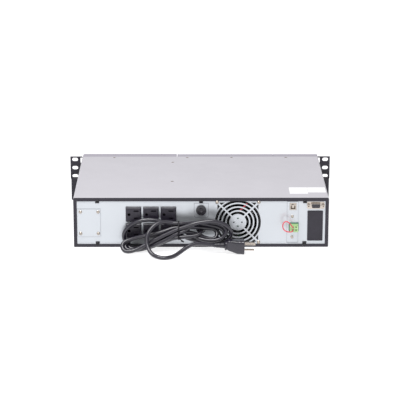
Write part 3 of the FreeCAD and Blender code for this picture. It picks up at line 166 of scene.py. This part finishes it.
def right_wide_turn():
    """The largest turn on the right, in front of the fan: up, round and back along the bottom."""
    return [(-26, 31.5, 46.4), (-14, 32, 51), (-2, 31.5, 54), (11, 31, 55.6), (24, 30.5, 55.4),
            (36, 30, 51.8), (45.5, 29, 45.4), (51.3, 27, 37), (51.3, 25.4, 29), (46, 25, 22.3),
            (36, 25, 18), (24, 25.5, 16), (11, 25.5, 16.2), (-3, 25, 18.2), (-16, 24, 21.2),
            (-26, 23, 24.4)]


def right_second_turn():
    """The turn just inside the widest one, bottom first."""
    return [(-22, 19, 30.8), (-11, 24.5, 26), (2, 30, 22.8), (15, 31.8, 21.6), (28, 31.8, 22.6),
            (38, 31, 27.8), (43, 29, 34.5), (42, 25.5, 41.5), (35.5, 23, 47), (24, 22.6, 50.6),
            (10, 23.5, 52.6), (-4, 24.8, 51.6), (-16, 26.5, 46.6), (-26, 29, 40)]


def right_inner_turn():
    """The smallest turn on the right, bottom first."""
    bottom = [(-27, 24.5, 35), (-15, 24, 33), (-3, 23, 28.6), (5, 24, 25.2), (12, 25, 23.2)]
    top = [(13, 15, 38), (4, 16, 39.6), (-7, 18.5, 41.2), (-18, 21.5, 42.5)]
    return bottom + fold(18, (25.4, 22.6), (14.6, 37.2), 1) + top


def right_flat_turn():
    """The flat turn round the smallest one, bottom first."""
    bottom = [(-28, 15.5, 41), (-23, 13.5, 34), (-18, 13.5, 27), (-9, 15, 21.5), (3, 17.5, 18.8),
              (16, 18.8, 18), (27, 19, 18.4)]
    round_end = [(36.6, 19, 22.8), (40.6, 18.8, 30), (36.8, 18, 37.2)]
    top = [(27, 17.5, 42), (16, 17, 44.4), (3, 17, 46.8), (-10, 18.5, 49), (-24, 22, 49)]
    return bottom + round_end + top


def loose_loop():
    """The loose loop in front, down to the floor and on to the plug."""
    return [(-50, 23.5, 51), (-61, 24, 53), (-72, 27, 52.3), (-81.5, 32, 47.6), (-90, 38, 38.5),
            (-93, 44.5, 27.3), (-91, 52, 15.8), (-84, 61, 6.5), (-72, 69, 3.5), (-60, 72, 3.5),
            (-48, 65, 3.6), (-37, 56, 7.6), (-27, 48.5, 13.6), (-16, 42.8, 18.4), (-4, 40.4, 19.6),
            (9, 39.4, 17.6), (22, 39.1, 15.8)]


def cord_route():
    """The whole power cord: its turns in winding order, each pair joined through the tie."""
    return (lead_in() + through_tie("low front", -1, 0.8)
            + left_back_turn() + through_tie("middle back", 1, -0.5)
            + right_second_turn() + through_tie("middle front", -1, 2.6)
            + left_middle_turn() + through_tie("low core", 1)
            + right_inner_turn() + through_tie("high core", -1)
            + left_front_turn() + through_tie("high front", 1, 2.6)
            + right_wide_turn() + through_tie("low back", -1)
            + left_arch() + through_tie("high back", 1, -0.8)
            + right_flat_turn() + through_tie("top", -1, -0.5)
            + loose_loop())


JUMPER_ROUTE = [(157.3, 8.5, 38.54), (157.3, 14.5, 38.54), (154.6, 19.3, 43.5),
                (150.5, 20.3, 49.6), (145.3, 19.8, 52.6), (140.4, 18.8, 49.4), (139, 17.8, 43),
                (140.8, 17.8, 36.6), (146.6, 19, 33), (154.2, 19.3, 32.8), (157.3, 14.5, 33.46),
                (157.3, 8.5, 33.46)]


def cord_curve(name, points, radius, finish):
    """A round cord along one smooth open spline."""
    data = bpy.data.curves.new(name, "CURVE")
    data.dimensions = "3D"
    data.bevel_depth = radius * MM
    data.bevel_resolution = 6
    data.resolution_u = 8
    data.use_fill_caps = True
    spline = data.splines.new("NURBS")
    spline.points.add(len(points) - 1)
    for target, point in zip(spline.points, points):
        target.co = (*at(*point), 1)
    spline.order_u = 3
    spline.use_endpoint_u = True
    data.materials.append(finish)
    curve = bpy.data.objects.new(name, data)
    bpy.context.scene.collection.objects.link(curve)
    return curve


# ------------------------------------------------------------------------------------- materials

NOISE_LOW, NOISE_HIGH = 0.3, 0.7        # most of a noise texture's values lie between these
CLEAR_COAT_ROUGHNESS = 0.09


class Finish:
    """One procedural material: a Principled shader fed by textures in object space."""

    def __init__(self, name, roughness, metallic=0.0, specular=0.5, coat=0.0):
        self.name = name
        self.material = bpy.data.materials.new(name)
        self.material.use_nodes = True
        self.tree = self.material.node_tree
        self.shader = self.tree.nodes["Principled BSDF"]
        self.shader.inputs["Roughness"].default_value = roughness
        self.shader.inputs["Metallic"].default_value = metallic
        self.shader.inputs["Specular IOR Level"].default_value = specular
        self.shader.inputs["Coat Weight"].default_value = coat
        self.shader.inputs["Coat Roughness"].default_value = CLEAR_COAT_ROUGHNESS
        self.place = self.tree.nodes.new("ShaderNodeTexCoord").outputs["Object"]

    def node(self, kind, **settings):
        """A new node with some of its properties set."""
        made = self.tree.nodes.new(kind)
        for key, value in settings.items():
            setattr(made, key, value)
        return made

    def join(self, source, target):
        self.tree.links.new(source, target)

    def with_vector(self, operation, source, vector):
        """The result of a vector operation between source and a constant vector."""
        made = self.node("ShaderNodeVectorMath", operation=operation)
        self.join(source, made.inputs[0])
        made.inputs[1].default_value = vector
        return made.outputs[0]

    def texture(self, kind, size, inputs, place, **settings):
        """Factor of a texture whose features are about size millimetres across."""
        made = self.node(kind, **settings)
        made.inputs["Scale"].default_value = 1 / (size * MM)
        for key, value in inputs.items():
            made.inputs[key].default_value = value
        self.join(place, made.inputs["Vector"])
        return made.outputs["Fac"]

    def noise(self, size, detail=3):
        """Noise from 0 to 1."""
        return self.texture("ShaderNodeTexNoise", size, {"Detail": detail}, self.place)

    def hairlines(self, size, stretch):
        """Noise that is drawn out along the axes that stretch scales down."""
        place = self.with_vector("MULTIPLY", self.place, stretch)
        return self.texture("ShaderNodeTexNoise", size, {"Detail": 3}, place)

    def distance(self, centre, weights):
        """Distance from a point in metres, with a weight on each axis."""
        offset = self.with_vector("SUBTRACT", self.place, centre)
        length = self.node("ShaderNodeVectorMath", operation="LENGTH")
        self.join(self.with_vector("MULTIPLY", offset, weights), length.inputs[0])
        return length.outputs["Value"]

    def tint(self, factor, low, high):
        """Base colour that runs between two stops, each a (factor, colour)."""
        ramp = self.node("ShaderNodeValToRGB")
        for element, (position, colour) in zip(ramp.color_ramp.elements, (low, high)):
            element.position = position
            element.color = (*colour, 1)
        self.join(factor, ramp.inputs[0])
        self.join(ramp.outputs[0], self.shader.inputs["Base Color"])

    def cloud(self, factor, colour, vary):
        """Base colour a little darker and lighter than colour, with a noise as its factor."""
        darker, lighter = (tuple(min(1, part * (1 + change)) for part in colour)
                           for change in (-vary, vary))
        self.tint(factor, (NOISE_LOW, darker), (NOISE_HIGH, lighter))

    def gloss(self, factor, low, high):
        """Roughness from low to high, with a noise as its factor."""
        spread = self.node("ShaderNodeMapRange")
        limits = {"From Min": NOISE_LOW, "From Max": NOISE_HIGH, "To Min": low, "To Max": high}
        for key, value in limits.items():
            spread.inputs[key].default_value = value
        self.join(factor, spread.inputs["Value"])
        self.join(spread.outputs["Result"], self.shader.inputs["Roughness"])

    def relief(self, height, depth):
        """Bump with a depth in millimetres."""
        bump = self.node("ShaderNodeBump")
        bump.inputs["Distance"].default_value = depth * MM
        self.join(height, bump.inputs["Height"])
        self.join(bump.outputs[0], self.shader.inputs["Normal"])


def plain(name, colour, rough, vary=0.12, grain=0.8, depth=0.03, patch=25, **shader):
    """Cloudy colour and roughness in patches, and a fine grain in the surface, sizes in mm."""
    finish = Finish(name, rough[0], **shader)
    finish.cloud(finish.noise(patch, 4), colour, vary)
    finish.gloss(finish.noise(patch * 0.4), *rough)
    finish.relief(finish.noise(grain, 2), depth)
    return finish


def brushed(name, colour, rough, along, vary=0.06, depth=0.01):
    """Bare metal with hairline marks, drawn out along the axis that is scaled down in along."""
    finish = Finish(name, rough[0], metallic=1.0)
    hair = finish.hairlines(1.2, along)
    finish.cloud(finish.noise(40), colour, vary)
    finish.gloss(hair, *rough)
    finish.relief(hair, depth)
    return finish


def fan_finish():
    """Glass-filled plastic; above and below the hub's middle it carries the motor's green board,
    painted pale as a painted highlight where the hub's holes lie in shade.
    """
    finish = Finish("fan_plastic", 0.5)
    # The board's green is painted pale: a painted highlight standing in for light that does not
    # reach into the hub's holes.
    board, plastic = (0.5, 0.95, 0.6), (0.008, 0.008, 0.009)
    narrow_upright, steepness = (4, 0, 1), 40
    distance = finish.distance(FAN_CENTRE, narrow_upright)
    ragged = finish.node("ShaderNodeMath", operation="MULTIPLY_ADD")
    finish.join(distance, ragged.inputs[0])
    ragged.inputs[1].default_value = steepness
    finish.join(finish.noise(30, 2), ragged.inputs[2])
    finish.tint(ragged.outputs[0], (0.78, board), (0.84, plastic))
    finish.gloss(finish.noise(10), 0.4, 0.55)
    finish.relief(finish.noise(0.8, 2), 0.04)
    return finish


def board_finish():
    """Green solder mask with lighter copper tracks and pads under it."""
    finish = Finish("board", 0.32, coat=0.3)
    tracks = finish.texture("ShaderNodeTexBrick", 9, {"Mortar Size": 0.06}, finish.place,
                            offset=0.5)
    finish.tint(tracks, (0, (0.012, 0.085, 0.035)), (1, (0.05, 0.2, 0.07)))
    finish.gloss(finish.noise(6), 0.25, 0.4)
    finish.relief(tracks, 0.03)
    return finish


def winding_finish():
    """Close turns of enamelled wire round an upright coil."""
    finish = Finish("copper", 0.3, metallic=0.9)
    turns = finish.texture("ShaderNodeTexWave", 4.5, {"Distortion": 0.6}, finish.place,
                           bands_direction="Z")
    finish.tint(turns, (0, (0.2, 0.06, 0.02)), (1, (0.62, 0.3, 0.13)))
    finish.gloss(finish.noise(4), 0.22, 0.4)
    finish.relief(turns, 0.5)
    return finish


def can_finish():
    """A capacitor's dark blue sleeve with one pale stripe."""
    finish = Finish("capacitor", 0.25, coat=0.2)
    stripe = finish.texture("ShaderNodeTexWave", 60, {}, finish.place, bands_direction="X")
    finish.tint(stripe, (0.9, (0.012, 0.014, 0.045)), (0.97, (0.45, 0.46, 0.5)))
    finish.gloss(finish.noise(8), 0.2, 0.35)
    finish.relief(finish.noise(2), 0.02)
    return finish


def window_finish():
    """A smoked display pane with a paler liquid-crystal area behind it."""
    finish = Finish("window", 0.06, coat=0.6)
    cells = finish.texture("ShaderNodeTexBrick", 14, {"Mortar Size": 0.03}, finish.place, offset=0)
    finish.tint(cells, (0, (0.035, 0.05, 0.06)), (1, (0.05, 0.068, 0.075)))
    finish.gloss(finish.noise(20), 0.05, 0.1)
    finish.relief(finish.noise(30), 0.01)
    return finish


def make_finishes():
    """The materials by the name of the record's slot."""
    made = (
        # The cover's pale lavender grey is a painted reflection: the bright sheen its top shows at a
        # grazing view from above, put into its base colour.
        plain("cover_paint", (0.5, 0.487, 0.525), (0.4, 0.5),
              vary=0.02, grain=0.9, depth=0.02, patch=60),
        plain("black_paint", (0.014, 0.0115, 0.021), (0.34, 0.46),
              vary=0.15, grain=0.7, patch=18),
        plain("panel_zinc", (0.565, 0.59, 0.62), (0.3, 0.34),
              vary=0.01, grain=1.0, depth=0.001, patch=60, metallic=0.7),
        plain("black_plastic", (0.013, 0.011, 0.018), (0.3, 0.42),
              vary=0.15, grain=0.6, depth=0.02, patch=12, coat=0.5),
        plain("outlet_plastic", (0.014, 0.011, 0.021), (0.34, 0.48),
              vary=0.15, grain=0.6, depth=0.04, patch=12),
        # The bezel's mid grey is a painted reflection: the sheen its top shows at a grazing view,
        # put into its base colour.
        plain("front_plastic", (0.36, 0.34, 0.39), (0.42, 0.55),
              vary=0.03, grain=0.5, depth=0.06, patch=40),
        brushed("nickel", (0.5, 0.45, 0.4), (0.16, 0.3), along=(1, 1, 0.3), vary=0.15),
        plain("black_screw", (0.02, 0.02, 0.023), (0.28, 0.42),
              vary=0.2, grain=0.5, depth=0.02, patch=3, metallic=0.4),
        window_finish(),
        plain("key_plastic", (0.06, 0.06, 0.066), (0.26, 0.36),
              vary=0.08, grain=0.6, depth=0.02, patch=8),
        board_finish(),
        brushed("aluminium", (0.6, 0.6, 0.62), (0.3, 0.45),
                along=(1, 0.1, 1), vary=0.04, depth=0.02),
        can_finish(),
        winding_finish(),
        plain("green_light", (0.38, 0.57, 0.27), (0.38, 0.5), vary=0.06, grain=0.6, patch=5),
        plain("green_dark", (0.06, 0.19, 0.13), (0.38, 0.5), vary=0.08, grain=0.6, patch=5),
        plain("red_wire", (0.64, 0.09, 0.12), (0.3, 0.42), vary=0.08, grain=1.2, patch=6),
        plain("cord_pvc", (0.01, 0.008, 0.017), (0.28, 0.38),
              vary=0.15, grain=0.9, depth=0.01, patch=14, coat=0.6),
        plain("battery_case", (0.03, 0.032, 0.035), (0.42, 0.56), depth=0.05, patch=20),
        brushed("zinc_steel", (0.5, 0.51, 0.53), (0.3, 0.42), along=(1, 0.1, 1), vary=0.05),
        plain("label", (0.86, 0.86, 0.87), (0.4, 0.5),
              vary=0.015, grain=0.6, depth=0.01, patch=12),
        fan_finish(),
    )
    return {finish.name: finish.material for finish in made}


def dress_nodes(finishes):
    """Puts each slot's material on the CAD nodes."""
    for node in nodes.values():
        for holder in node.material_slots:
            holder.material = finishes[holder.material.name.split(".")[0]]


# ---------------------------------------------------------------------------------------- pieces

SHARP_ANGLE = math.radians(35)


def piece_from(name, mesh, finish, body, smooth=True):
    """An object made from a bmesh, riding on a body."""
    bmesh.ops.recalc_face_normals(mesh, faces=mesh.faces)
    data = bpy.data.meshes.new(name)
    mesh.to_mesh(data)
    mesh.free()
    data.materials.append(finish)
    for face in data.polygons:
        face.use_smooth = smooth
    piece = bpy.data.objects.new(name, data)
    bpy.context.scene.collection.objects.link(piece)
    if smooth:
        data.set_sharp_from_angle(angle=SHARP_ANGLE)
    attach(piece, body)
    return piece


def skin(mesh, rings, close_round=False):
    """Quads between rings of points; the ends are closed, or the last ring meets the first."""
    made = [[mesh.verts.new(point) for point in ring] for ring in rings]
    count = len(made[0])
    pairs = list(zip(made, made[1:]))
    if close_round:
        pairs.append((made[-1], made[0]))
    for near, far in pairs:
        for i in range(count):
            following = (i + 1) % count
            mesh.faces.new((near[i], near[following], far[following], far[i]))
    if not close_round:
        mesh.faces.new(made[0][::-1])
        mesh.faces.new(made[-1])


# Sections of the plug are (x, half width, underside z, top z, squareness), in mm along its axes.
PLUG_PLACE = (40, 38, 15.2)
PLUG_YAW, PLUG_PITCH = math.radians(3.5), math.radians(2)
ROUND, SQUARE = 2, 5
SECTION_POINTS = 48


def rounded_section(half_width, half_height, squareness):
    """Points of an ellipse, or of a rounded rectangle where squareness is high."""
    points = []
    for step in range(SECTION_POINTS):
        angle = 2 * math.pi * step / SECTION_POINTS
        cosine, sine = math.cos(angle), math.sin(angle)
        points.append((half_width * math.copysign(abs(cosine) ** (2 / squareness), cosine),
                       half_height * math.copysign(abs(sine) ** (2 / squareness), sine)))
    return points


def relief_sections():
    """The strain relief: round ribs that widen towards the plug."""
    length, ribs, pitch = 18, 7, 2.5
    first_radius, growth, groove = 4.2, 0.2, 0.8
    sections = []
    for rib in range(ribs):
        start = rib * pitch - length
        radius = first_radius + growth * rib
        sections += [(start + step, radius - dip, dip - radius, radius - dip, ROUND)
                     for step, dip in ((0, groove), (0.3, 0), (1.3, 0), (1.6, groove))]
    return sections


def collar_sections():
    """The round collar at the end of the relief, and the step from it to the body."""
    return [(-0.4, 5.2, -5.2, 5.2, ROUND), (0, 7.6, -7.8, 7.6, 2.3), (0.5, 8.2, -8.4, 8.2, 2.3),
            (2.4, 8.2, -8.4, 8.2, 2.3), (2.9, 7.6, -7.9, 8.4, 3), (3.1, 6.9, -6.6, 8.6, 4),
            (4.4, 7.5, -7.2, 9.5, 4.6), (6, 8, -8, 10.1, SQUARE)]


def grip_sections():
    """The body, which widens and deepens along its slope, with shallow grooves in its sides."""
    first, grooves, pitch, groove_depth = 8.5, 6, 2.6, 0.3
    slope_start, slope_length, widening, deepening = 6, 15, 3.1, 5.3
    half_width, underside, top = 8, -8, 10.3
    sections = []
    for groove in range(grooves):
        start = first + groove * pitch
        for offset, dip in ((0, 0), (0.5, groove_depth), (1.3, groove_depth), (1.8, 0)):
            share = min(1, (start + offset - slope_start) / slope_length)
            sections.append((start + offset, half_width + widening * share - dip,
                             underside - deepening * share, top, SQUARE))
    return sections


def rim_sections():
    """The end of the body, and the rim round the face with the blades."""
    return [(27, 11.2, -13.4, 10.3, SQUARE), (29.2, 11.3, -13.5, 10.2, SQUARE),
            (29.8, 11.6, -13.7, 10.4, SQUARE), (32.4, 11.6, -13.8, 10.4, SQUARE),
            (33, 11.1, -13.3, 9.9, SQUARE)]


def make_plug(finish):
    """The moulded plug with its strain relief; x runs along it towards the blades."""
    turn = Matrix.Rotation(PLUG_YAW, 4, "Z") @ Matrix.Rotation(PLUG_PITCH, 4, "Y")
    place = Matrix.Translation(at(*PLUG_PLACE)) @ turn
    sections = relief_sections() + collar_sections() + grip_sections() + rim_sections()
    rings = []
    for x, half_width, low, high, squareness in sections:
        outline = rounded_section(half_width, (high - low) / 2, squareness)
        rings.append([place @ Vector((x * MM, y * MM, (z + (high + low) / 2) * MM))
                      for y, z in outline])
    mesh = bmesh.new()
    skin(mesh, rings)
    plug = piece_from("plug_moulding", mesh, finish, "chassis")
    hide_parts("plug_body")
    return plug


def tie_band():
    """Rings of a flat band, drawn tight round the outer strands at the waist."""
    count, width, thickness, bevel, clearance = 96, 2.6, 0.7, 0.3, 0.1
    inner = CORD_RADIUS + clearance
    outer = inner + thickness
    profile = ((-width / 2, inner), (-width / 2 + bevel, outer),
               (width / 2 - bevel, outer), (width / 2, inner))
    rings = []
    for step in range(count):
        angle = 2 * math.pi * step / count
        way = (math.cos(angle), math.sin(angle))
        hub = max(STRANDS_IN_TIE.values(),
                  key=lambda strand: strand[0] * way[0] + strand[1] * way[1])
        rings.append([at(TIE_X + x, hub[0] + radius * way[0], hub[1] + radius * way[1])
                      for x, radius in profile])
    return rings


def tie_tail():
    """Rings of the tie's two ends, twisted together and hanging down in front."""
    path = [Vector(point) for point in
            ((-40, 36, 32), (-38.2, 38.4, 29.2), (-35.8, 39.4, 26.4), (-33.2, 39.6, 23.8),
             (-31.2, 39.4, 22.2), (-30, 39, 21.2))]
    half_width, half_thickness, turns, steps = 1.5, 0.5, 1.5, 30
    corners = ((-1, -1), (1, -1), (1, 1), (-1, 1))
    rings = []
    for step in range(steps + 1):
        share = step / steps * (len(path) - 1)
        index = min(int(share), len(path) - 2)
        middle = path[index].lerp(path[index + 1], share - index)
        along = (path[index + 1] - path[index]).normalized()
        side = along.cross(Vector((0, 1, 0))).normalized()
        front = side.cross(along)
        angle = 2 * math.pi * turns * step / steps
        wide = math.cos(angle) * side + math.sin(angle) * front
        thick = math.cos(angle) * front - math.sin(angle) * side
        rings.append([at(*(middle + wide * half_width * a + thick * half_thickness * b))
                      for a, b in corners])
    return rings


def make_tie(finish):
    """The twist tie round the waist of the hank."""
    mesh = bmesh.new()
    skin(mesh, tie_band(), close_round=True)
    skin(mesh, tie_tail())
    tie = piece_from("twist_tie_band", mesh, finish, "chassis")
    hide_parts("twist_tie")
    return tie


def make_power_cord(finish):
    """The coiled power cord from the gland to the plug."""
    cord = cord_curve("power_cord", cord_route(), CORD_RADIUS, finish)
    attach(cord, "chassis")
    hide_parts("cord_lead_in", "cord_hank", "cord_lead_out")


def make_jumper(finish):
    """The red link wire between two ways of the terminal block."""
    jumper = cord_curve("link_wire", JUMPER_ROUTE, JUMPER_RADIUS, finish)
    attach(jumper, "terminal_plug")
    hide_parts("jumper_wire")


def make_outline(name, x_range, z_range, corner, line, finish):
    """A thin dark film on the rear panel, square at the top and rounded at the bottom, in mm."""
    (left, right), (low, high) = x_range, z_range
    film, corner_steps = 0.06, 6
    outline = [(left, high), (right, high)]
    for centre_x, start in ((right - corner, 0), (left + corner, -90)):
        for step in range(corner_steps + 1):
            angle = math.radians(start - 90 * step / corner_steps)
            outline.append((centre_x + corner * math.cos(angle),
                            low + corner + corner * math.sin(angle)))
    middle_x, middle_z = (left + right) / 2, (low + high) / 2
    rings = []
    for x, z in outline:
        inward = Vector((middle_x - x, 0, middle_z - z)).normalized() * line
        inner_x, inner_z = x + inward.x, z + inward.z
        rings.append([at(x, PANEL_REACH, z), at(x, PANEL_REACH + film, z),
                      at(inner_x, PANEL_REACH + film, inner_z), at(inner_x, PANEL_REACH, inner_z)])
    mesh = bmesh.new()
    skin(mesh, rings, close_round=True)
    piece_from(name, mesh, finish, "chassis", smooth=False)


def make_outlines():
    """The printed line round the breaker, and painted shade lines along the seams round the two
    small plates.
    """
    # The darker ink is real print round the breaker and painted shade along the signal plate's seam;
    # the paler one is painted shade along the cover plate's seam.
    print_ink_and_painted_shade = plain("outline_ink_and_painted_shade", (0.2, 0.2, 0.23), (0.4, 0.5)).material
    painted_seam_shade = plain("painted_seam_shade", (0.34, 0.35, 0.38), (0.4, 0.5)).material
    make_outline("breaker_outline", (-12.2, 12.8), (52.5, 78.5), 4, 0.9, print_ink_and_painted_shade)
    make_outline("signal_plate_painted_shade", (147.2, 166.9), (7.6, 82.4), 0.5, 1.2, print_ink_and_painted_shade)
    make_outline("cover_plate_painted_shade", (-213.1, -172.3), (18.3, 68.7), 2.5, 0.7, painted_seam_shade)


# ------------------------------------------------------------------------------- floor and lights

FLOOR_HALF = 20            # m
FLOOR_GLOW = 0.8           # keeps the floor an even white
WORLD_STRENGTH = 0.6
LIGHT_PLACE = (-0.45, -1.0, 2.0)
LIGHT_SIZE, LIGHT_POWER = 1.3, 46       # m, W


def make_floor():
    """A plain white floor."""
    finish = Finish("floor_white", 0.6, specular=0.2)
    finish.tint(finish.noise(300), (NOISE_LOW, (0.42, 0.42, 0.44)), (NOISE_HIGH, (0.45, 0.45, 0.47)))
    finish.shader.inputs["Emission Color"].default_value = (1, 1, 1, 1)
    finish.shader.inputs["Emission Strength"].default_value = FLOOR_GLOW
    mesh = bmesh.new()
    bmesh.ops.create_grid(mesh, x_segments=1, y_segments=1, size=FLOOR_HALF)
    data = bpy.data.meshes.new("floor")
    mesh.to_mesh(data)
    mesh.free()
    data.materials.append(finish.material)
    floor = bpy.data.objects.new("floor", data)
    bpy.context.scene.collection.objects.link(floor)


def make_lights():
    """White surroundings, and one large soft light overhead, aimed at the object."""
    world = bpy.data.worlds.new("studio")
    world.use_nodes = True
    background = world.node_tree.nodes["Background"]
    background.inputs["Color"].default_value = (1, 1, 1, 1)
    background.inputs["Strength"].default_value = WORLD_STRENGTH
    bpy.context.scene.world = world
    data = bpy.data.lights.new("overhead", "AREA")
    data.shape = "SQUARE"
    data.size = LIGHT_SIZE
    data.energy = LIGHT_POWER
    light = bpy.data.objects.new("overhead", data)
    light.location = LIGHT_PLACE
    light.rotation_mode = "QUATERNION"
    light.rotation_quaternion = (-Vector(LIGHT_PLACE)).to_track_quat("-Z", "Y")
    bpy.context.scene.collection.objects.link(light)
    bpy.context.scene.view_settings.view_transform = "Standard"


# ----------------------------------------------------------------------------------------- build

make_camera()
finishes = make_finishes()
dress_nodes(finishes)
plug_piece = make_plug(finishes["cord_pvc"])
tie_skin = plain("tie_skin", (0.006, 0.005, 0.008), (0.5, 0.62), specular=0.25).material
tie_piece = make_tie(tie_skin)
make_power_cord(finishes["cord_pvc"])
make_jumper(finishes["red_wire"])
make_outlines()
make_floor()
make_lights()
